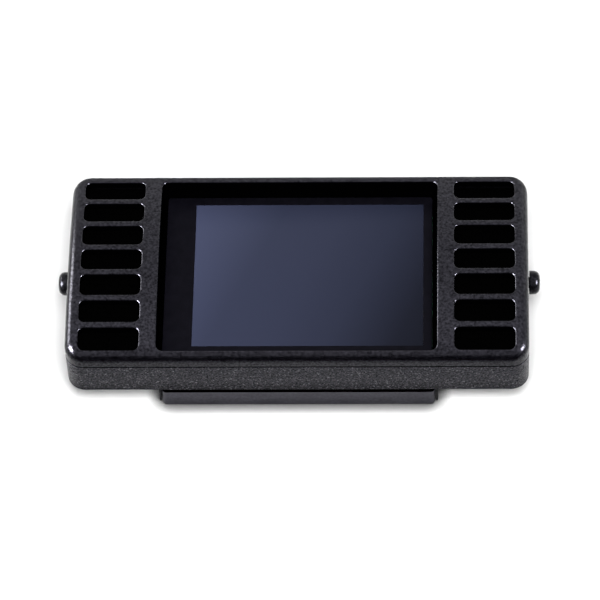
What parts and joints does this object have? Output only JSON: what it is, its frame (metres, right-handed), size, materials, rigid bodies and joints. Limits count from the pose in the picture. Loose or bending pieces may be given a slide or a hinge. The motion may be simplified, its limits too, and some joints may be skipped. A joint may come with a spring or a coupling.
{
  "type": "radar detector",
  "caption": "Dash-top radar detector display head with an arched slotted bezel, a recessed colour screen, side pivot screws and a flat receiver box on its back.",
  "frame": {"origin": "centre of the footprint, on the surface that the back of the receiver box lies on", "axes": "+Z the way the screen faces, +X to the unit's right, +Y towards its top edge"},
  "size_m": [0.121, 0.055, 0.0261],
  "materials": {
    "bezel_plastic": "semi-gloss textured moulding",
    "housing_plastic": "grainy matt moulding",
    "box_plastic": "smooth satin moulding",
    "screen_border": "gloss black print under glass",
    "screen_active": "dark blue-grey unlit screen",
    "grille_cloth": "black acoustic mesh",
    "black_steel": "black oxide",
    "bare_steel": "plain",
    "brass": "knurled",
    "board": "green solder mask",
    "chip": "black epoxy",
    "gasket_foam": "closed-cell foam",
    "ceramic": "unglazed with silvered patch",
    "ribbon": "amber film",
    "laser_window": "infrared-pass dark red"
  },
  "bodies": {
    "head": {"front_bezel": "bezel_plastic", "rear_housing": "housing_plastic", "receiver_box": "box_plastic", "laser_lens": "laser_window", "end_plate_left": "black_steel", "grille_mesh_left": "grille_cloth", "pivot_insert_left": "brass", "end_plate_right": "black_steel", "grille_mesh_right": "grille_cloth", "pivot_insert_right": "brass", "display_panel": "screen_border", "screen_cell": "screen_active", "display_frame": "bare_steel", "display_gasket": "gasket_foam", "display_board": "board", "display_flex": "ribbon", "receiver_board": "board", "processor_chip": "chip", "rf_shield": "bare_steel", "power_socket": "bare_steel", "speaker_magnet": "bare_steel", "speaker_frame": "chip", "gps_antenna": "ceramic", "case_screw_1": "black_steel", "box_screw_1": "black_steel", "board_screw_1": "bare_steel", "case_screw_2": "black_steel", "box_screw_2": "black_steel", "board_screw_2": "bare_steel", "case_screw_3": "black_steel", "box_screw_3": "black_steel", "board_screw_3": "bare_steel", "case_screw_4": "black_steel", "box_screw_4": "black_steel", "board_screw_4": "bare_steel"},
    "screw_left": {"pivot_screw_left": "black_steel"},
    "screw_right": {"pivot_screw_right": "black_steel"},
    "cone": {"speaker_cone": "grille_cloth"}
  },
  "joints": [
    {"name": "pivot_screw_left_turn", "type": "hinge", "parent": "head", "child": "screw_left", "pos_m": [-0.0578, 0, 0.0152], "axis": [-1, 0, 0], "range_deg": [0, 360]},
    {"name": "pivot_screw_right_turn", "type": "hinge", "parent": "head", "child": "screw_right", "pos_m": [0.0578, 0, 0.0152], "axis": [1, 0, 0], "range_deg": [0, 360]},
    {"name": "speaker_cone_travel", "type": "slide", "parent": "head", "child": "cone", "axis": [0, 0, 1], "range_m": [-0.0003, 0.0003], "stiffness_N_per_m": 400}
  ]
}
